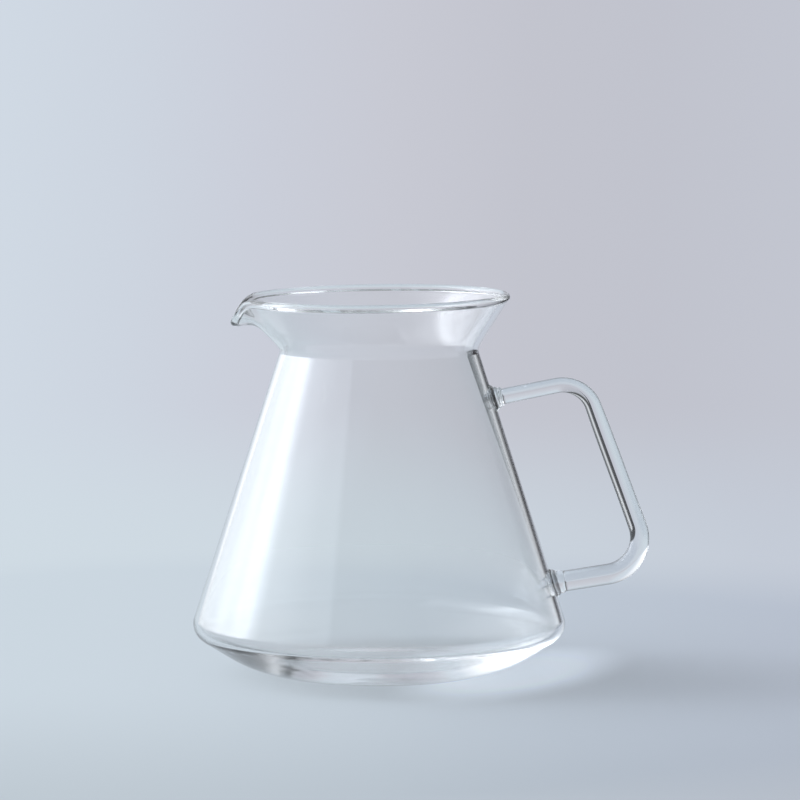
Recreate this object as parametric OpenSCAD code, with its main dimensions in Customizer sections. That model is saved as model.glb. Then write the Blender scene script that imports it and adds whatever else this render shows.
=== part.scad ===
// Coffee server carafe: a blown glass vessel with a pulled spout and a solid glass rod handle.
// The origin is the centre of the flat it stands on, +Z is up, the spout points along -X
// and the handle along +X. All sizes are in millimetres.

/* [Vessel] */
// Height from the flat underneath to the top of the rim, on the handle's side
vessel_h = 120.7; // [105:0.1:160]
// Diameter of the corner between wall and underside, before it is rounded
body_d = 119.8; // [106:0.2:150]
// Height of that corner
shoulder_h = 13.6; // [9:0.2:22]
// Radius that rounds that corner
shoulder_round = 5.5; // [3:0.1:8]
// Diameter where the flat and the sloping underside meet, before that corner is rounded
foot_d = 76.6; // [60:0.2:90]
// Radius that rounds the corner between the flat and the sloping underside
foot_round = 45; // [20:1:60]
// Thickness of the blown wall
wall = 1.8; // [1.2:0.1:2.6]
// Thickness of the glass in the middle of the base
base_t = 3.2; // [2:0.1:6]

/* [Neck and mouth] */
// Outer diameter of the neck
neck_d = 62.8; // [52:0.2:72]
// Height of the mouth, from where the wall meets the neck up to the rim
mouth_h = 18.8; // [15:0.1:28]
// Radius of the bend between wall and neck
neck_round = 3; // [1.5:0.1:6]
// Length of the straight part of the neck
neck_land = 1; // [0.8:0.1:4]
// Outer diameter of the rim
mouth_d = 84.4; // [74:0.2:96]
// How far the mouth's centre lies from the axis, towards the spout
mouth_shift = 1; // [0:0.1:3]
// Diameter of the fire-polished bead round the rim
bead_d = 2.6; // [2:0.1:3.6]
// Lean of the rim from upright
rim_angle = 14; // [5:1:40]
// How far the rim falls from the handle's side to the spout's side
rim_fall = 1.1; // [0:0.1:3]

/* [Spout] */
// How far the lip is pulled out past the round mouth
spout_pull = 3.6; // [2:0.1:10]
// How far the lip is pulled down
spout_drop = 6.9; // [2:0.1:9]
// Angle round the mouth over which the pull fades to a third
spout_spread = 12; // [9:0.5:22]

/* [Handle] */
// Diameter of the rod along its upper run
rod_top_d = 4.7; // [3.4:0.1:7]
// Diameter of the rod along its lower run
rod_low_d = 6.6; // [3.4:0.1:8]
// How far below the neck the upper run's centre line meets the wall
top_weld_drop = 14.6; // [10:0.1:24]
// How far above the corner of wall and underside the lower run's centre line meets the wall
low_weld_rise = 15; // [12:0.1:26]
// How far the upper corner of the handle stands out from the wall
top_reach = 28.3; // [24:0.1:40]
// How far the lower corner of the handle stands out from the wall
low_reach = 31.4; // [26:0.1:44]
// Rise of the upper run as it leaves the wall, in degrees
top_rise = 11.5; // [0:0.5:20]
// Rise of the lower run as it leaves the wall, in degrees
low_rise = 9.2; // [0:0.5:16]
// Radius of the upper bend, at the rod's centre
top_bend = 10.3; // [8:0.1:14]
// Radius of the lower bend, at the rod's centre
low_bend = 12.1; // [8:0.1:16]

/* [Welds] */
// Diameter of the upper weld where it spreads on the wall
top_weld_foot_d = 9.2; // [8:0.1:12]
// Diameter of the upper weld at the rod
top_weld_end_d = 6.2; // [4.6:0.1:8]
// Length of the upper weld along the rod
top_weld_l = 2.8; // [2.2:0.1:8]
// Diameter of the lower weld where it spreads on the wall
low_weld_foot_d = 9.4; // [9:0.1:13]
// Diameter of the lower weld at the rod
low_weld_end_d = 7.3; // [5.8:0.1:9]
// Length of the lower weld along the rod
low_weld_l = 3.6; // [2.2:0.1:8]
// Depth of the grooves between the turns of a weld
groove = 0.35; // [0:0.05:0.6]

/* [Hidden] */

$fn = 96;
// Largest step of an arc, in degrees
arc_step = 5;
// Steps along the flare, round half the bead and round the mouth
flare_steps = 9;
bead_steps = 6;
mouth_steps = 60;
spout_steps = 24;
// Turns of glass that show on each weld
top_weld_turns = 3;
low_weld_turns = 2;
weld_steps = 24;
// Sides of the rod
rod_sides = 24;
// Share of the flare's height by which its curve leaves the neck and reaches the rim
flare_start_share = 0.16;
flare_end_share = 0.17;
// Share of the flare's length at which the lip starts to fall, and at which the bead takes over the wall
drop_start_share = 0.45;
bead_start_share = 0.94;
// Share of the flare's length over which its direction is measured
way_share = 0.01;
// The pull grows along the flare with this power, and the fall narrows round the lip with this one
pull_power = 1.15;
drop_power = 1.4;
// How far the mouth's lower edge lies within the neck's glass, at each face and in depth
sunk = 0.05;
sunk_depth = 0.4;

body_r = body_d / 2;
foot_r = foot_d / 2;
neck_r = neck_d / 2;
bead_r = bead_d / 2;
// Heights at which the wall meets the neck, and the neck the mouth
neck_h = vessel_h - mouth_h;
body_top = neck_h + neck_land;
// Heights at which the centre lines of the handle's runs meet the wall
top_weld_h = neck_h - top_weld_drop;
low_weld_h = shoulder_h + low_weld_rise;
rim_centre = [mouth_d / 2 - bead_r, vessel_h - bead_r];

// Corners of the outside of the body, from the axis up to the neck: radius and height
outer_corners = [[0, 0], [foot_r, 0], [body_r, shoulder_h], [neck_r, neck_h], [neck_r, body_top]];
// Corners of its inside
inner_corners = [
    [0, base_t],
    [foot_r, base_t],
    moved_corner(outer_corners[1], outer_corners[2], outer_corners[3], wall),
    moved_corner(outer_corners[2], outer_corners[3], outer_corners[4], wall),
    [neck_r - wall, body_top]
];

function unit(v) = v / norm(v);
// Left-hand normal of a direction in the plane
function left(v) = [-v[1], v[0]];
// Angle brought into the range from -180 to 180
function half_turn(a) = a - 360 * floor((a + 180) / 360);
function smooth(t) = let (s = min(max(t, 0), 1)) s * s * (3 - 2 * s);

// Corner b of the path a, b, c when both of its sides move to the left by d
function moved_corner(a, b, c, d) =
    let (n1 = left(unit(b - a)), n2 = left(unit(c - b)))
    b + (n1 + n2) * d / (1 + n1 * n2);

// Arc of radius r that rounds corner b of the path a, b, c, held within half of each side
function rounded(a, b, c, r) =
    let (
        u = unit(a - b),
        v = unit(c - b),
        half = acos(u * v) / 2,
        reach = min(r / tan(half), norm(a - b) / 2, norm(c - b) / 2),
        held = reach * tan(half),
        centre = b + unit(u + v) * held / sin(half),
        from = b + u * reach - centre,
        to = b + v * reach - centre,
        start = atan2(from[1], from[0]),
        sweep = half_turn(atan2(to[1], to[0]) - start),
        steps = ceil(abs(sweep) / arc_step)
    )
    [for (i = [0:steps]) centre + held * [cos(start + sweep * i / steps), sin(start + sweep * i / steps)]];

// Outline through corners c with the inner ones rounded by the radii
function outline(c, radii) = [
    c[0],
    for (i = [1:len(c) - 2]) each rounded(c[i - 1], c[i], c[i + 1], radii[i - 1]),
    c[len(c) - 1]
];

outer_outline = outline(outer_corners, [foot_round, shoulder_round, neck_round]);
inner_outline = outline(inner_corners, [foot_round - base_t, shoulder_round - wall, neck_round + wall]);

// Radius of the straight wall's outside at height z
function wall_r(z) = body_r + (neck_r - body_r) * (z - shoulder_h) / (neck_h - shoulder_h);

// The flare's middle surface: a curve that leaves the neck upright and reaches the rim at its lean
flare_h = rim_centre[1] - body_top;
flare_from = [neck_r - wall / 2, body_top];
flare_1 = flare_from + [0, flare_h * flare_start_share];
flare_2 = rim_centre - flare_h * flare_end_share * [sin(rim_angle), cos(rim_angle)];
function flare(t) =
    pow(1 - t, 3) * flare_from + 3 * pow(1 - t, 2) * t * flare_1
    + 3 * (1 - t) * t * t * flare_2 + pow(t, 3) * rim_centre;

// The same at angle a round the mouth, with the mouth's shift, the rim's fall and the spout's pull
function spout_share(a) = exp(-pow(half_turn(a - 180) / spout_spread, 2));
function lip(t, a) =
    let (
        s = spout_share(a),
        shift = -mouth_shift * cos(a) * smooth(t),
        fall = rim_fall * (1 - cos(a)) / 2 * smooth(t),
        drop = spout_drop * pow(s, drop_power) * smooth((t - drop_start_share) / (1 - drop_start_share))
    )
    flare(t) + [spout_pull * s * pow(t, pull_power) + shift, -fall - drop];

// Direction of the middle surface there, found from two close points of it
function lip_way(t, a) =
    let (t0 = max(t - way_share, 0), t1 = min(t + way_share, 1))
    unit(lip(t1, a) - lip(t0, a));

// Section of the mouth at angle a: up its outside, round the bead and down its inside
flare_ts = [for (i = [0:flare_steps]) bead_start_share * i / flare_steps];
bead_turn = 180 - asin(min(wall / bead_d, 1));
function side_points(ts, a, side) = [
    for (t = ts) let (n = -left(lip_way(t, a))) lip(t, a) + side * wall / 2 * n
];
function bead_points(a) =
    let (d = lip_way(1, a), n = -left(d), c = lip(1, a))
    [for (i = [0:bead_steps])
        let (p = bead_turn * (1 - 2 * i / bead_steps)) c + bead_r * (cos(p) * d + sin(p) * n)];
function mouth_section(a) = [
    [neck_r - sunk, body_top - sunk_depth],
    [neck_r - sunk, body_top],
    each [for (i = [1:flare_steps]) side_points(flare_ts, a, 1)[i]],
    each bead_points(a),
    each [for (i = [flare_steps:-1:1]) side_points(flare_ts, a, -1)[i]],
    [neck_r - wall + sunk, body_top],
    [neck_r - wall + sunk, body_top - sunk_depth]
];

// Angles of the sections, closer together round the spout
spout_span = 3 * spout_spread;
mouth_angles = [
    for (i = [0:mouth_steps - 1]) half_turn(180 + spout_span + (360 - 2 * spout_span) * i / mouth_steps),
    for (i = [0:spout_steps - 1]) 180 - spout_span + 2 * spout_span * i / spout_steps
];

// Closed ring of the mouth, through its sections
module mouth_ring() {
    rings = [for (a = mouth_angles) [for (p = mouth_section(a)) [p[0] * cos(a), p[0] * sin(a), p[1]]]];
    m = len(rings);
    n = len(rings[0]);
    polyhedron(
        points = [for (ring = rings) each ring],
        faces = [
            for (i = [0:m - 1], j = [0:n - 1])
                let (i1 = (i + 1) % m, j1 = (j + 1) % n)
                each [[i * n + j, i * n + j1, i1 * n + j1], [i * n + j, i1 * n + j1, i1 * n + j]]
        ],
        convexity = 6
    );
}

// The blown vessel: base, wall and neck turned in one piece, with the flared mouth
module vessel() {
    color("lightsteelblue", 0.35)
    union() {
        rotate_extrude()
            polygon([
                each outer_outline,
                for (i = [len(inner_outline) - 1:-1:0]) inner_outline[i]
            ]);
        mouth_ring();
    }
}

// Handle centre line in the XZ plane: where each run meets the wall, and the two corners
top_foot = [wall_r(top_weld_h), top_weld_h];
low_foot = [wall_r(low_weld_h), low_weld_h];
top_way = [cos(top_rise), sin(top_rise)];
low_way = [cos(low_rise), sin(low_rise)];
top_corner = top_foot + top_reach * [1, tan(top_rise)];
low_corner = low_foot + low_reach * [1, tan(low_rise)];
top_rod_end = top_foot + top_weld_l * top_way;
low_rod_end = low_foot + low_weld_l * low_way;

// Points of the centre line, and the rod's diameter and direction at each of them
rod_line = outline([top_rod_end, top_corner, low_corner, low_rod_end], [top_bend, low_bend]);
// Its diameter grows in the two bends and stays even along the upright between them
function rod_d(p) =
    let (
        way = (top_corner[1] - p[1]) / (top_corner[1] - low_corner[1]),
        share = min(max(way, 0), 1),
        grown = share + sin(360 * share) / (2 * PI)
    )
    rod_top_d + (rod_low_d - rod_top_d) * grown;
function rod_way(i) =
    let (last = len(rod_line) - 1)
    i == 0 ? top_way : i == last ? -low_way : unit(rod_line[i + 1] - rod_line[i - 1]);

// The handle: one bent glass rod
module handle_rod() {
    m = len(rod_line);
    n = rod_sides;
    color("lightcyan", 0.5)
    polyhedron(
        points = [
            for (i = [0:m - 1])
                let (c = rod_line[i], side = left(rod_way(i)), r = rod_d(c) / 2)
                for (j = [0:n - 1])
                    let (a = 360 * j / n, q = c + r * cos(a) * side)
                    [q[0], r * sin(a), q[1]]
        ],
        faces = [
            [for (j = [0:n - 1]) j],
            for (i = [0:m - 2], j = [0:n - 1])
                let (a = i * n + j, b = i * n + (j + 1) % n)
                each [[b, a, a + n], [b, a + n, b + n]],
            [for (j = [n - 1:-1:0]) (m - 1) * n + j]
        ],
        convexity = 4
    );
}

// Gather of glass that joins a run of the rod to the wall, as turns that taper to the rod
module weld(foot, rise, foot_d, end_d, length, turns) {
    foot_r = foot_d / 2;
    end_r = end_d / 2;
    difference() {
        translate([foot[0], 0, foot[1]])
            rotate([0, 90 - rise, 0])
                rotate_extrude()
                    polygon([
                        [0, -foot_r],
                        [foot_r, -foot_r],
                        for (i = [0:weld_steps])
                            let (
                                t = i / weld_steps,
                                taper = end_r + (foot_r - end_r) * pow(1 - t, 2),
                                dip = groove * (1 - abs(sin(180 * turns * t)))
                            )
                            [taper - dip, length * t],
                        [0, length]
                    ]);
        translate([0, 0, shoulder_h])
            cylinder(h = neck_h - shoulder_h, r1 = body_r, r2 = neck_r);
    }
}

// Weld at the top of the handle, with three turns
module upper_weld() {
    color("white", 0.6)
    weld(top_foot, top_rise, top_weld_foot_d, top_weld_end_d, top_weld_l, top_weld_turns);
}

// Weld at the foot of the handle, with two turns
module lower_weld() {
    color("white", 0.6)
    weld(low_foot, low_rise, low_weld_foot_d, low_weld_end_d, low_weld_l, low_weld_turns);
}

vessel();
handle_rod();
upper_weld();
lower_weld();
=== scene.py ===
"""A clear glass coffee server on a pale floor, lit by a tall window on the left."""
import math

import bmesh
import bpy
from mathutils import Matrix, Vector


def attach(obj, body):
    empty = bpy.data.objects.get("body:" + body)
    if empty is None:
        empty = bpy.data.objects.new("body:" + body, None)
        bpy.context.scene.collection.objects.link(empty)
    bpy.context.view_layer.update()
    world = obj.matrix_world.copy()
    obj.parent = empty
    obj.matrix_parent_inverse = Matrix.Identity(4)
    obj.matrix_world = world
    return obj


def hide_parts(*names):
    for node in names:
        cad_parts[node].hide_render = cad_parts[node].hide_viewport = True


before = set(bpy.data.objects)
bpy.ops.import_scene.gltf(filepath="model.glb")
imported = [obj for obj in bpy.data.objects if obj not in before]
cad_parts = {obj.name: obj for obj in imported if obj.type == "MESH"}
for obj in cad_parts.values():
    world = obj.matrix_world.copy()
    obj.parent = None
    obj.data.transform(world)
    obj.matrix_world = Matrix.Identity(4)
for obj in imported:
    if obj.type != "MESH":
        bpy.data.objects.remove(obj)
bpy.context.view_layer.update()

MM = 0.001

# Vessel, in millimetres: the same driving sizes as the solids have, and radii where those have widths
VESSEL_H = 120.7
BODY_R = 59.9
SHOULDER_H = 13.6
SHOULDER_ROUND = 5.5
FOOT_R = 38.3
FOOT_ROUND = 45.0
WALL = 1.8
BASE_T = 3.2
NECK_R = 31.4
NECK_H = 101.9
NECK_ROUND = 3.0
NECK_LAND = 1.0
MOUTH_R = 42.2
MOUTH_SHIFT = 1.0
BEAD_R = 1.3
RIM_FALL = 1.1
SPOUT_PULL = 3.6
SPOUT_DROP = 6.9

# The faint hollow of the underside, in millimetres: its depth, and the radius of the ring that it stands on
FOOT_HOLLOW = 0.8
FOOT_RING = 30.0

# The flare: its lean at the rim in degrees, the shares of its height over which it leaves the neck and
# reaches the rim, and the share of the way up at which the bead starts
RIM_ANGLE = 14.0
FLARE_START_SHARE = 0.16
FLARE_END_SHARE = 0.17
BEAD_START_SHARE = 0.94

# The spout: its half width in degrees, the share of the way up at which its drop starts, how late its pull
# grows on the way up, and how much narrower the drop is than the pull
SPOUT_SPREAD = 12.0
DROP_START_SHARE = 0.45
PULL_POWER = 1.15
DROP_POWER = 1.4

# Handle, in millimetres and degrees: its thickness, the height at which each run leaves the wall, how far
# the run reaches out, how it rises, and the round of its bend
ROD_TOP_R = 2.35
ROD_LOW_R = 3.3
TOP_WELD_H = 87.3
LOW_WELD_H = 28.6
TOP_REACH = 28.3
LOW_REACH = 31.4
TOP_RISE = 11.5
LOW_RISE = 9.2
TOP_BEND = 10.3
LOW_BEND = 12.1

# Welds, in millimetres: their sizes, the depth of the grooves between their turns, how far they reach
# into the wall, and the gap to the rod. The grooves reach their depth within 1 / GROOVE_RISE of the length
TOP_WELD = {"foot_r": 4.6, "end_r": 3.1, "length": 2.8, "turns": 3}
LOW_WELD = {"foot_r": 4.7, "end_r": 3.65, "length": 3.6, "turns": 2}
GROOVE = 0.35
GROOVE_RISE = 6.0
WELD_BITE = 0.15
SEAM = 0.01

# How finely the meshes are made: degrees along arcs, millimetres along straight lines and the rod, numbers
# of steps and sides, and the share of the flare over which its direction is taken
ARC_STEP = 3.0
LINE_STEP = 3.0
ROD_STEP = 0.8
ROUND_STEPS = 288
FLARE_STEPS = 26
BEAD_STEPS = 28
ROD_SIDES = 48
WELD_SIDES = 96
WELD_STEPS = 40
SEARCH_STEPS = 30
LIP_STEP = 0.01

# Glass: its tone, its refraction and its faint waves, whose width and height are in millimetres. Its edges
# get
# painted shade: it gets darker where it is seen edge on, which starts and ends at shares of a grazing view,
# and the edge's shade is the tone that is left there. The even blend makes that share grow evenly
GLASS_TONE = (0.985, 0.992, 0.99)
GLASS_IOR = 1.47
WAVE_DETAIL = 1.5
EVEN_BLEND = 0.5
BLOWN = {"wave": 22.0, "wave_height": 0.03, "edge_start": 0.8, "edge_end": 0.98, "edge_shade_tone": 0.3}
DRAWN = {"wave": 6.0, "wave_height": 0.015, "edge_start": 0.3, "edge_end": 0.75, "edge_shade_tone": 0.25}
GATHERED = {"wave": 6.0, "wave_height": 0.03, "edge_start": 0.3, "edge_end": 0.75, "edge_shade_tone": 0.95}

# Light runs far inside a thin wall before it leaves it
GLASS_BOUNCES = 128

# The camera: the picture's width in pixels, its distance and aim in millimetres and height angle in
# degrees, millimetres per pixel at that distance, the sensor in millimetres, and how near and how far it
# sees in metres
PHOTO_PX = 800
CAMERA_D = 1700.0
CAMERA_ANGLE = 5.76
AIM_X = 6.56
AIM_Z = 86.72
MM_PER_PX = 0.3152
SENSOR = 36.0
CLIP_START = 0.05
CLIP_END = 50.0

# The floor's size and surface. Its lengths are in metres, here and in what follows about it
FLOOR_R = 12.0
FLOOR_RINGS = 24
FLOOR_SIDES = 96
FLOOR_ROUGHNESS = 0.9
FLOOR_SPECULAR = 0.2

# Its colour near the object, by share of the span from left to right, lighter on the left towards the
# window as painted light. Between the back and the front its brightness falls to the shade's share, as
# painted shade
FLOOR_SPAN = 1.2
FLOOR_NEAR = [
    (0.0, (0.64, 0.72, 0.79)),
    (0.38, (0.63, 0.71, 0.775)),
    (0.5, (0.61, 0.68, 0.745)),
    (0.62, (0.555, 0.60, 0.68)),
    (1.0, (0.53, 0.58, 0.655)),
]
FLOOR_FRONT = -0.28
FLOOR_BACK = -0.02
FRONT_SHADE = 0.86

# The soft oval of painted light beside the base, in place of the light that the glass gathers: its middle,
# how it leans to the right towards the back, its half sizes, the share of them that is at full light, and
# how much brighter it is there
PATCH_X = 0.043
PATCH_Y = -0.004
PATCH_LEAN = 0.33
PATCH_HALF_X = 0.036
PATCH_HALF_Y = 0.068
PATCH_START = 0.35
PATCH_LIFT = 0.6

# The floor's colour far away, which takes over between two distances. It goes by direction in degrees from
# a place this far in front of the object, and what lies nearer to that place counts as the least ahead
FAR_START = 0.3
FAR_END = 0.9
FAR_PLACE = 1.7
FAR_LEAST = 0.7
FLOOR_FAR = [
    (-180.0, 0.30),
    (-130.0, 0.55),
    (-90.0, 0.80),
    (-45.0, 0.85),
    (-15.0, (0.645, 0.715, 0.785)),
    (-3.8, (0.63, 0.695, 0.775)),
    (-2.0, (0.597, 0.638, 0.72)),
    (-1.0, (0.59, 0.607, 0.685)),
    (0.3, (0.57, 0.58, 0.645)),
    (2.0, (0.53, 0.54, 0.605)),
    (4.4, (0.54, 0.56, 0.63)),
    (16.0, (0.56, 0.59, 0.665)),
    (60.0, 0.55),
    (90.0, 0.45),
    (180.0, 0.30),
]

# The share of its colour that the floor gives off by itself: on the left and on the right near the object,
# with the change between them this wide on each side, and rising to all of it between two distances
GLOW_LEFT = 0.8
GLOW_RIGHT = 0.35
GLOW_SIDE = 0.1
GLOW_START = 0.12
GLOW_END = 0.32

# The dark part of the floor on the right, seen only in the glass and through it: how far to the right it
# starts, its lean to the right towards the back, and the direction in degrees up to which it reaches
DARK = (0.05, 0.05, 0.055)
DARK_START = 0.17
DARK_END = 0.21
DARK_LEAN = 0.08
DARK_TURN = 75.0
DARK_TURN_SOFT = 3.0

# Light of the room by direction: degrees from straight behind the object, positive to its right. A single
# number is a level of daylight. The ramp holds it divided by the scale, and the strength gives that back
DAYLIGHT = (0.96, 1.0, 1.06)
ROOM_SCALE = 6.0
ROOM = [
    (-180.0, 0.26),
    (-149.0, 0.30),
    (-145.0, 1.0),
    (-130.0, 1.12),
    (-118.0, 1.55),
    (-104.0, 2.0),
    (-98.0, 2.15),
    (-94.0, 2.9),
    (-90.0, 3.9),
    (-86.0, 5.4),
    (-76.0, 4.9),
    (-69.0, 3.6),
    (-60.0, 3.2),
    (-49.0, 1.9),
    (-36.0, 1.3),
    (-22.0, 1.0),
    (-12.0, (0.66, 0.73, 0.82)),
    (-5.0, (0.635, 0.705, 0.775)),
    (-2.5, (0.61, 0.64, 0.71)),
    (0.0, (0.575, 0.59, 0.65)),
    (3.0, (0.52, 0.53, 0.59)),
    (12.0, (0.46, 0.48, 0.54)),
    (15.0, 0.3),
    (17.0, 0.04),
    (20.5, 0.04),
    (25.0, 0.35),
    (29.0, 0.75),
    (34.0, 0.65),
    (40.0, 0.3),
    (48.0, 0.12),
    (125.0, 0.08),
    (180.0, 0.26),
]

# The ceiling's level of daylight, and the upward share of a direction over which it takes over
CEILING = 0.45
CEILING_START = 0.72
CEILING_END = 0.94


def unit(v):
    """The same direction with length 1."""
    return v / v.length


def left(v):
    """Left-hand normal of a direction in the plane."""
    return Vector((-v.y, v.x))


def heading(degrees):
    """Direction in the plane at an angle above level."""
    return Vector((math.cos(math.radians(degrees)), math.sin(math.radians(degrees))))


def half_turn(a):
    """Angle in degrees brought into the range from -180 to 180."""
    return (a + 180.0) % 360.0 - 180.0


def full_turn(steps):
    """Angles in radians, evenly spread over one turn."""
    return [2.0 * math.pi * i / steps for i in range(steps)]


def smooth(t):
    """Soft rise from 0 to 1 while t goes from 0 to 1."""
    s = min(max(t, 0.0), 1.0)
    return s * s * (3.0 - 2.0 * s)


def moved_corner(a, b, c, d):
    """Corner b of the path a, b, c when both of its sides move to the left by d."""
    n1, n2 = left(unit(b - a)), left(unit(c - b))
    return b + (n1 + n2) * d / (1.0 + n1.dot(n2))


def rounded(a, b, c, r):
    """Points of the arc of radius r that rounds corner b of the path a, b, c."""
    u, v = unit(a - b), unit(c - b)
    half = math.acos(u.dot(v)) / 2.0
    reach = min(r / math.tan(half), (a - b).length / 2.0, (c - b).length / 2.0)
    held = reach * math.tan(half)
    centre = b + unit(u + v) * held / math.sin(half)
    start = b + u * reach - centre
    end = b + v * reach - centre
    first = math.degrees(math.atan2(start.y, start.x))
    sweep = half_turn(math.degrees(math.atan2(end.y, end.x)) - first)
    steps = math.ceil(abs(sweep) / ARC_STEP)
    return [centre + held * heading(first + sweep * i / steps) for i in range(steps + 1)]


def outline(corners, radii, step):
    """Outline through the corners with the inner ones rounded, and long sides cut into equal steps."""
    points = [corners[0]]
    for i, r in enumerate(radii, 1):
        points += rounded(corners[i - 1], corners[i], corners[i + 1], r)
    points.append(corners[-1])
    cut = [points[0]]
    for p, q in zip(points[:-1], points[1:]):
        n = max(1, math.ceil((q - p).length / step))
        cut += [p.lerp(q, k / n) for k in range(1, n + 1)]
    return cut


def wall_r(z):
    """Radius of the straight wall's outside at height z."""
    return BODY_R + (NECK_R - BODY_R) * (z - SHOULDER_H) / (NECK_H - SHOULDER_H)


# Corners of the body's outside and inside from the axis to the flare, and the middle of the rim's bead
BODY_TOP = NECK_H + NECK_LAND
OUTER = [
    Vector((0, 0)),
    Vector((FOOT_R, 0)),
    Vector((BODY_R, SHOULDER_H)),
    Vector((NECK_R, NECK_H)),
    Vector((NECK_R, BODY_TOP)),
]
INNER = [
    Vector((0, BASE_T)),
    Vector((FOOT_R, BASE_T)),
    moved_corner(*OUTER[1:4], WALL),
    moved_corner(*OUTER[2:5], WALL),
    Vector((NECK_R - WALL, BODY_TOP)),
]
RIM_CENTRE = Vector((MOUTH_R - BEAD_R, VESSEL_H - BEAD_R))
BEAD_TURN = math.pi - math.asin(WALL / 2.0 / BEAD_R)

# Where the rod's runs leave the wall, which way they go, and the corners that its bends round
TOP_FOOT = Vector((wall_r(TOP_WELD_H), TOP_WELD_H))
LOW_FOOT = Vector((wall_r(LOW_WELD_H), LOW_WELD_H))
TOP_WAY = heading(TOP_RISE)
LOW_WAY = heading(LOW_RISE)
TOP_CORNER = TOP_FOOT + TOP_REACH / TOP_WAY.x * TOP_WAY
LOW_CORNER = LOW_FOOT + LOW_REACH / LOW_WAY.x * LOW_WAY


def flare(t):
    """The flare's middle surface: it leaves the neck upright and reaches the rim at its lean."""
    h = RIM_CENTRE.y - BODY_TOP
    lean = math.radians(RIM_ANGLE)
    p0 = Vector((NECK_R - WALL / 2.0, BODY_TOP))
    p1 = p0 + Vector((0.0, h * FLARE_START_SHARE))
    p2 = RIM_CENTRE - h * FLARE_END_SHARE * Vector((math.sin(lean), math.cos(lean)))
    s = 1.0 - t
    return s ** 3 * p0 + 3.0 * s * s * t * p1 + 3.0 * s * t * t * p2 + t ** 3 * RIM_CENTRE


def lip(t, a):
    """The flare at angle a round the mouth, with the mouth's shift, the rim's fall and the spout."""
    share = math.exp(-((half_turn(a - 180.0) / SPOUT_SPREAD) ** 2))
    fall = RIM_FALL * (1.0 - math.cos(math.radians(a))) / 2.0 * smooth(t)
    drop = SPOUT_DROP * share ** DROP_POWER * smooth((t - DROP_START_SHARE) / (1.0 - DROP_START_SHARE))
    shift = -MOUTH_SHIFT * math.cos(math.radians(a)) * smooth(t)
    return flare(t) + Vector((SPOUT_PULL * share * t ** PULL_POWER + shift, -fall - drop))


def lip_way(t, a):
    """Direction in which the lip rises at t, at angle a round the mouth."""
    return unit(lip(min(t + LIP_STEP, 1.0), a) - lip(max(t - LIP_STEP, 0.0), a))


def mouth_section(a):
    """Section of the mouth at angle a: up its outside, round the bead and down its inside."""
    ts = [BEAD_START_SHARE * i / FLARE_STEPS for i in range(1, FLARE_STEPS + 1)]
    outside = [lip(t, a) - WALL / 2.0 * left(lip_way(t, a)) for t in ts]
    inside = [lip(t, a) + WALL / 2.0 * left(lip_way(t, a)) for t in reversed(ts)]
    up = lip_way(1.0, a)
    out = -left(up)
    bead = []
    for i in range(BEAD_STEPS + 1):
        turn = BEAD_TURN * (1.0 - 2.0 * i / BEAD_STEPS)
        bead.append(lip(1.0, a) + BEAD_R * (math.cos(turn) * up + math.sin(turn) * out))
    return outside + bead + inside


def mesh_object(name, verts, faces):
    """A smooth-shaded object from points in millimetres, with its faces turned outward."""
    mesh = bpy.data.meshes.new(name)
    mesh.from_pydata([Vector(v) * MM for v in verts], [], faces)
    obj = bpy.data.objects.new(name, mesh)
    bpy.context.scene.collection.objects.link(obj)
    bm = bmesh.new()
    bm.from_mesh(mesh)
    bmesh.ops.recalc_face_normals(bm, faces=bm.faces)
    bm.to_mesh(mesh)
    bm.free()
    mesh.shade_smooth()
    return obj


def tube_faces(rings, sides):
    """Quads between rings of points that each close on themselves."""
    faces = []
    for i in range(rings - 1):
        for j in range(sides):
            k = (j + 1) % sides
            faces.append((i * sides + j, i * sides + k, (i + 1) * sides + k, (i + 1) * sides + j))
    return faces


def fan(centre, ring):
    """Triangles from a centre point to a closed ring of points."""
    return [(centre, ring[i], ring[(i + 1) % len(ring)]) for i in range(len(ring))]


def closed_tube(name, rings, ends):
    """An object through closed rings of points, shut by a fan to its end point at each end."""
    sides = len(rings[0])
    verts = [p for ring in rings for p in ring]
    last = len(verts) - sides
    faces = tube_faces(len(rings), sides)
    faces += fan(len(verts), range(sides))
    faces += fan(len(verts) + 1, range(last, last + sides))
    return mesh_object(name, verts + ends, faces)


def beside(p, side, r, a):
    """Place at radius r and angle a round point p of a line in the handle's plane, square to side."""
    q = p + r * math.cos(a) * side
    return Vector((q.x, r * math.sin(a), q.y))


def build_vessel():
    """The blown vessel as one closed surface: outside, bead and inside."""
    outer_rounds = [FOOT_ROUND, SHOULDER_ROUND, NECK_ROUND]
    inner_rounds = [FOOT_ROUND - BASE_T, SHOULDER_ROUND - WALL, NECK_ROUND + WALL]
    outside = outline(OUTER, outer_rounds, LINE_STEP)[1:]
    outside = [p + Vector((0.0, FOOT_HOLLOW * (1.0 - smooth(p.x / FOOT_RING)))) for p in outside]
    inside = outline(INNER, inner_rounds, LINE_STEP)[1:]
    verts = []
    for k in range(ROUND_STEPS):
        a = 360.0 * k / ROUND_STEPS
        section = outside + mouth_section(a) + inside[::-1]
        c, s = math.cos(math.radians(a)), math.sin(math.radians(a))
        verts += [(p.x * c, p.x * s, p.y) for p in section]
    n = len(section)
    faces = []
    for k in range(ROUND_STEPS):
        a, b = k * n, (k + 1) % ROUND_STEPS * n
        faces += [(a + j, b + j, b + j + 1, a + j + 1) for j in range(n - 1)]
    verts += [(0, 0, FOOT_HOLLOW), (0, 0, BASE_T)]
    faces += fan(len(verts) - 2, [k * n for k in range(ROUND_STEPS)])
    faces += fan(len(verts) - 1, [k * n + n - 1 for k in range(ROUND_STEPS)])
    return mesh_object("vessel_glass", verts, faces)


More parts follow.
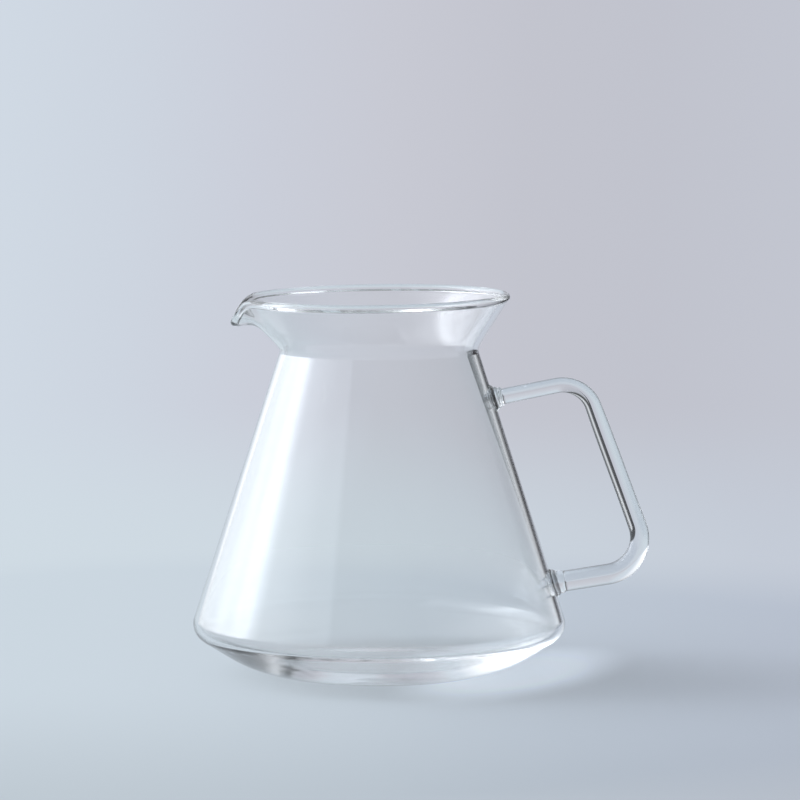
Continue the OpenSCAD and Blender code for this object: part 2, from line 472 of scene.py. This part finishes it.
def rod_radius(p):
    """Radius of the rod at p: it grows through the two bends and hardly between them."""
    share = min(max((TOP_CORNER.y - p.y) / (TOP_CORNER.y - LOW_CORNER.y), 0.0), 1.0)
    grown = share + math.sin(2.0 * math.pi * share) / (2.0 * math.pi)
    return ROD_TOP_R + (ROD_LOW_R - ROD_TOP_R) * grown


def build_rod():
    """The handle: one bent glass rod."""
    top = TOP_FOOT + (TOP_WELD["length"] + SEAM) * TOP_WAY
    low = LOW_FOOT + (LOW_WELD["length"] + SEAM) * LOW_WAY
    line = outline([top, TOP_CORNER, LOW_CORNER, low], [TOP_BEND, LOW_BEND], ROD_STEP)
    rings = []
    for i, p in enumerate(line):
        side = left(unit(line[min(i + 1, len(line) - 1)] - line[max(i - 1, 0)]))
        rings.append([beside(p, side, rod_radius(p), a) for a in full_turn(ROD_SIDES)])
    return closed_tube("handle_glass", rings, [(top.x, 0, top.y), (low.x, 0, low.y)])


def build_weld(name, foot, way, foot_r, end_r, length, turns):
    """A gather of glass between wall and rod, whose foot follows the wall."""
    side = left(way)

    def place(s, r, a):
        """Place at distance s along the weld, at radius r and angle a round it."""
        return beside(foot + s * way, side, r, a)

    def start(a):
        """How far back along the weld the foot's edge meets the wall at angle a."""
        low, high = -foot_r, length
        for _ in range(SEARCH_STEPS):
            s = (low + high) / 2.0
            p = place(s, foot_r, a)
            if math.hypot(p.x, p.y) < wall_r(p.z) - WELD_BITE:
                low = s
            else:
                high = s
        return low

    angles = full_turn(WELD_SIDES)
    starts = [start(a) for a in angles]
    rings = []
    for i in range(WELD_STEPS + 1):
        t = i / WELD_STEPS
        dip = GROOVE * (1.0 - abs(math.sin(math.pi * turns * t)))
        r = end_r + (foot_r - end_r) * (1.0 - t) ** 2 - dip * smooth(t * GROOVE_RISE)
        rings.append([place(s + (length - s) * t, r, a) for s, a in zip(starts, angles)])
    return closed_tube(name, rings, [place(-WELD_BITE, 0.0, 0.0), place(length, 0.0, 0.0)])


def new_material(name):
    """A material with nodes, its node tree and its main shader."""
    mat = bpy.data.materials.new(name)
    mat.use_nodes = True
    return mat, mat.node_tree, mat.node_tree.nodes["Principled BSDF"]


def node(tree, kind, **values):
    """A new node with these properties."""
    made = tree.nodes.new(kind)
    for key, value in values.items():
        setattr(made, key, value)
    return made


def feed(tree, socket, value):
    """Links an input to another node's output, or sets it to a fixed value."""
    if isinstance(value, bpy.types.NodeSocket):
        tree.links.new(value, socket)
    else:
        socket.default_value = value


def math_node(tree, operation, *values):
    """Result of a math node whose inputs are outputs of nodes or numbers."""
    made = node(tree, "ShaderNodeMath", operation=operation)
    for socket, value in zip(made.inputs, values):
        feed(tree, socket, value)
    return made.outputs[0]


def length_node(tree, x, y):
    """Length of the flat vector x, y."""
    squares = [math_node(tree, "MULTIPLY", v, v) for v in (x, y)]
    return math_node(tree, "SQRT", math_node(tree, "ADD", *squares))


def ramp_share(tree, value, low, high):
    """Smooth step of a value from low to high."""
    step = node(tree, "ShaderNodeMapRange", interpolation_type="SMOOTHSTEP")
    step.inputs["From Min"].default_value = low
    step.inputs["From Max"].default_value = high
    tree.links.new(value, step.inputs["Value"])
    return step.outputs["Result"]


def coordinates(tree, kind):
    """X, Y and Z of a kind of texture coordinate."""
    place = node(tree, "ShaderNodeTexCoord")
    split = node(tree, "ShaderNodeSeparateXYZ")
    tree.links.new(place.outputs[kind], split.inputs["Vector"])
    return split.outputs["X"], split.outputs["Y"], split.outputs["Z"]


def rgba(color):
    """The colour with full alpha."""
    return tuple(color) + (1.0,)


def daylight(level):
    """The colour of daylight at a level."""
    return tuple(level * c for c in DAYLIGHT)


def mixed(tree, share, first, second):
    """Colour that turns from the first into the second as the share goes from 0 to 1."""
    mix = node(tree, "ShaderNodeMix", data_type="RGBA")
    feed(tree, mix.inputs["Factor"], share)
    feed(tree, mix.inputs["A"], first)
    feed(tree, mix.inputs["B"], second)
    return mix.outputs["Result"]


def color_ramp(tree, source, stops):
    """A colour ramp over the source, through stops of place and colour."""
    ramp = node(tree, "ShaderNodeValToRGB")
    elements = ramp.color_ramp.elements
    for i, (place, color) in enumerate(stops):
        stop = elements[i] if i < 2 else elements.new(place)
        stop.position = place
        stop.color = rgba(color)
    tree.links.new(source, ramp.inputs["Fac"])
    return ramp.outputs["Color"]


def azimuth_share(tree, x, y):
    """Direction of x, y: 0.5 is straight back, 0.75 to the right and 0.25 to the left."""
    turn = math_node(tree, "ARCTAN2", x, y)
    return math_node(tree, "MULTIPLY_ADD", turn, 0.5 / math.pi, 0.5)


def by_azimuth(levels, scale=1.0):
    """Stops for a colour ramp over azimuth_share, from degrees and colours or levels of daylight."""
    stops = []
    for degrees, color in levels:
        rgb = color if isinstance(color, tuple) else daylight(color)
        stops.append((degrees / 360.0 + 0.5, tuple(c * scale for c in rgb)))
    return stops


def glass_material(name, wave, wave_height, edge_start, edge_end, edge_shade_tone):
    """Clear glass with the faint waves of blowing or drawing, with painted shade where it is seen edge on.
    """
    mat, tree, shader = new_material(name)
    # Painted shade: the glass's colour darkens where it is seen edge on.
    facing = node(tree, "ShaderNodeLayerWeight")
    facing.inputs["Blend"].default_value = EVEN_BLEND
    share = ramp_share(tree, facing.outputs["Facing"], edge_start, edge_end)
    tone = mixed(tree, share, rgba(GLASS_TONE), rgba([edge_shade_tone] * 3))
    tree.links.new(tone, shader.inputs["Base Color"])
    shader.inputs["Transmission Weight"].default_value = 1.0
    shader.inputs["IOR"].default_value = GLASS_IOR
    shader.inputs["Roughness"].default_value = 0.0
    place = node(tree, "ShaderNodeTexCoord")
    waves = node(tree, "ShaderNodeTexNoise")
    waves.inputs["Scale"].default_value = 1.0 / (wave * MM)
    waves.inputs["Detail"].default_value = WAVE_DETAIL
    bump = node(tree, "ShaderNodeBump")
    bump.inputs["Strength"].default_value = 1.0
    bump.inputs["Distance"].default_value = wave_height * MM
    tree.links.new(place.outputs["Object"], waves.inputs["Vector"])
    tree.links.new(waves.outputs["Fac"], bump.inputs["Height"])
    tree.links.new(bump.outputs["Normal"], shader.inputs["Normal"])
    return mat


def painted_light_lift(tree, x, y):
    """How many times brighter the floor is in the oval of painted light beside the base."""
    leaning = math_node(tree, "MULTIPLY_ADD", y, -PATCH_LEAN, x)
    off_x = math_node(tree, "MULTIPLY_ADD", leaning, 1.0 / PATCH_HALF_X, -PATCH_X / PATCH_HALF_X)
    off_y = math_node(tree, "MULTIPLY_ADD", y, 1.0 / PATCH_HALF_Y, -PATCH_Y / PATCH_HALF_Y)
    gone = ramp_share(tree, length_node(tree, off_x, off_y), PATCH_START, 1.0)
    return math_node(tree, "MULTIPLY_ADD", gone, -PATCH_LIFT, 1.0 + PATCH_LIFT)


def near_color(tree, x, y):
    """The floor's colour with painted light and shade: lighter on the left, darker in front, an oval of
    light.
    """
    # Painted light and shade: lighter on the left, towards the window, and darker towards the front.
    across = math_node(tree, "MULTIPLY_ADD", x, 1.0 / FLOOR_SPAN, 0.5)
    back = ramp_share(tree, y, FLOOR_FRONT, FLOOR_BACK)
    shade = math_node(tree, "MULTIPLY_ADD", back, 1.0 - FRONT_SHADE, FRONT_SHADE)
    # Painted light: an oval of light beside the base, in place of the light that the glass gathers.
    shade = math_node(tree, "MULTIPLY", shade, painted_light_lift(tree, x, y))
    near = node(tree, "ShaderNodeVectorMath", operation="SCALE")
    tree.links.new(color_ramp(tree, across, FLOOR_NEAR), near.inputs[0])
    tree.links.new(shade, near.inputs["Scale"])
    return near.outputs["Vector"]


def far_color(tree, x, y):
    """The floor's colour far away, by direction from the place in front of the object."""
    ahead = math_node(tree, "MAXIMUM", math_node(tree, "ADD", y, FAR_PLACE), FAR_LEAST)
    return color_ramp(tree, azimuth_share(tree, x, ahead), by_azimuth(FLOOR_FAR))


def dark_share(tree, x, y):
    """Share of the dark part on the right, which lies beside the object and reaches up to a direction."""
    side = ramp_share(tree, math_node(tree, "MULTIPLY_ADD", y, -DARK_LEAN, x), DARK_START, DARK_END)
    turn = math_node(tree, "MULTIPLY_ADD", azimuth_share(tree, x, y), -360.0, DARK_TURN + 180.0)
    return math_node(tree, "MULTIPLY", side, ramp_share(tree, turn, 0.0, DARK_TURN_SOFT))


def glow_share(tree, x, away):
    """Share of its colour that the floor gives off: by side near the object, and all of it far away."""
    right = ramp_share(tree, x, -GLOW_SIDE, GLOW_SIDE)
    near = math_node(tree, "MULTIPLY_ADD", right, GLOW_RIGHT - GLOW_LEFT, GLOW_LEFT)
    return math_node(tree, "MAXIMUM", ramp_share(tree, away, GLOW_START, GLOW_END), near)


def floor_material():
    """Pale matt floor that gives off part of its colour, so that it ends in the room's own colours.

    Only the camera and the glass see that glow: it lights nothing, and the object's shadow stays.
    """
    mat, tree, shader = new_material("floor")
    x, y, _ = coordinates(tree, "Object")
    away = length_node(tree, x, y)
    paths = node(tree, "ShaderNodeLightPath")
    by_camera = paths.outputs["Is Camera Ray"]
    near = near_color(tree, x, y)
    tree.links.new(near, shader.inputs["Base Color"])
    shader.inputs["Roughness"].default_value = FLOOR_ROUGHNESS
    shader.inputs["Specular IOR Level"].default_value = FLOOR_SPECULAR
    color = mixed(tree, ramp_share(tree, away, FAR_START, FAR_END), near, far_color(tree, x, y))
    not_by_camera = math_node(tree, "SUBTRACT", 1.0, by_camera)
    dark = math_node(tree, "MULTIPLY", dark_share(tree, x, y), not_by_camera)
    glow = node(tree, "ShaderNodeEmission")
    tree.links.new(mixed(tree, dark, color, rgba(DARK)), glow.inputs["Color"])
    seen = math_node(tree, "MAXIMUM", by_camera, paths.outputs["Is Glossy Ray"])
    seen = math_node(tree, "MAXIMUM", seen, paths.outputs["Is Transmission Ray"])
    share = math_node(tree, "MAXIMUM", glow_share(tree, x, away), dark)
    mix = node(tree, "ShaderNodeMixShader")
    tree.links.new(math_node(tree, "MULTIPLY", seen, share), mix.inputs["Fac"])
    tree.links.new(shader.outputs["BSDF"], mix.inputs[1])
    tree.links.new(glow.outputs["Emission"], mix.inputs[2])
    tree.links.new(mix.outputs["Shader"], tree.nodes["Material Output"].inputs["Surface"])
    return mat


def build_floor():
    """A wide round floor, whose rings lie closer together near the object."""
    radii = [FLOOR_R * (i / FLOOR_RINGS) ** 2 / MM for i in range(1, FLOOR_RINGS + 1)]
    verts = [(r * math.cos(a), r * math.sin(a), 0.0) for r in radii for a in full_turn(FLOOR_SIDES)]
    faces = tube_faces(FLOOR_RINGS, FLOOR_SIDES) + fan(len(verts), range(FLOOR_SIDES))
    floor = mesh_object("floor", verts + [(0.0, 0.0, 0.0)], faces)
    floor.data.materials.append(floor_material())


def build_room():
    """The room as light from all sides: the window on the left, and dark and pale parts on the right."""
    world = bpy.data.worlds.new("room")
    bpy.context.scene.world = world
    world.use_nodes = True
    tree = world.node_tree
    x, y, z = coordinates(tree, "Generated")
    walls = color_ramp(tree, azimuth_share(tree, x, y), by_azimuth(ROOM, 1.0 / ROOM_SCALE))
    above = ramp_share(tree, z, CEILING_START, CEILING_END)
    back = tree.nodes["Background"]
    tree.links.new(mixed(tree, above, walls, rgba(daylight(CEILING / ROOM_SCALE))), back.inputs["Color"])
    back.inputs["Strength"].default_value = ROOM_SCALE


def build_camera():
    """The photograph's view: its distance, height angle and aim."""
    angle = math.radians(CAMERA_ANGLE)
    aim = Vector((AIM_X, 0.0, AIM_Z)) * MM
    data = bpy.data.cameras.new("camera")
    data.sensor_width = SENSOR
    data.lens = CAMERA_D / MM_PER_PX / PHOTO_PX * SENSOR
    data.clip_start = CLIP_START
    data.clip_end = CLIP_END
    camera = bpy.data.objects.new("camera", data)
    camera.location = aim + CAMERA_D * MM * Vector((0.0, -math.cos(angle), math.sin(angle)))
    camera.rotation_euler = (math.pi / 2.0 - angle, 0.0, 0.0)
    bpy.context.scene.collection.objects.link(camera)
    bpy.context.scene.camera = camera


def setup_render():
    """Plain colours, and enough bounces for the light inside the glass."""
    scene = bpy.context.scene
    scene.view_settings.view_transform = "Standard"
    scene.cycles.max_bounces = GLASS_BOUNCES
    scene.cycles.transmission_bounces = GLASS_BOUNCES
    scene.cycles.glossy_bounces = GLASS_BOUNCES
    scene.cycles.use_denoising = True


def dress(obj, mat, slot, *nodes):
    """Gives a piece its glass, puts it under the root and hides the solids that it stands for; the slot is
    not used.
    """
    obj.data.materials.append(mat)
    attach(obj, "root")
    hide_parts(*nodes)


def build_object():
    """Vessel, handle and welds in their three kinds of glass."""
    blown = glass_material("blown_glass", **BLOWN)
    drawn = glass_material("drawn_glass", **DRAWN)
    gathered = glass_material("gathered_glass", **GATHERED)
    dress(build_vessel(), blown, "vessel_glass", "vessel")
    dress(build_rod(), drawn, "rod_glass", "handle_rod")
    upper = build_weld("upper_weld_glass", TOP_FOOT, TOP_WAY, **TOP_WELD)
    dress(upper, gathered, "weld_glass", "upper_weld")
    lower = build_weld("lower_weld_glass", LOW_FOOT, LOW_WAY, **LOW_WELD)
    dress(lower, gathered, "weld_glass", "lower_weld")


build_camera()
build_floor()
build_room()
build_object()
setup_render()
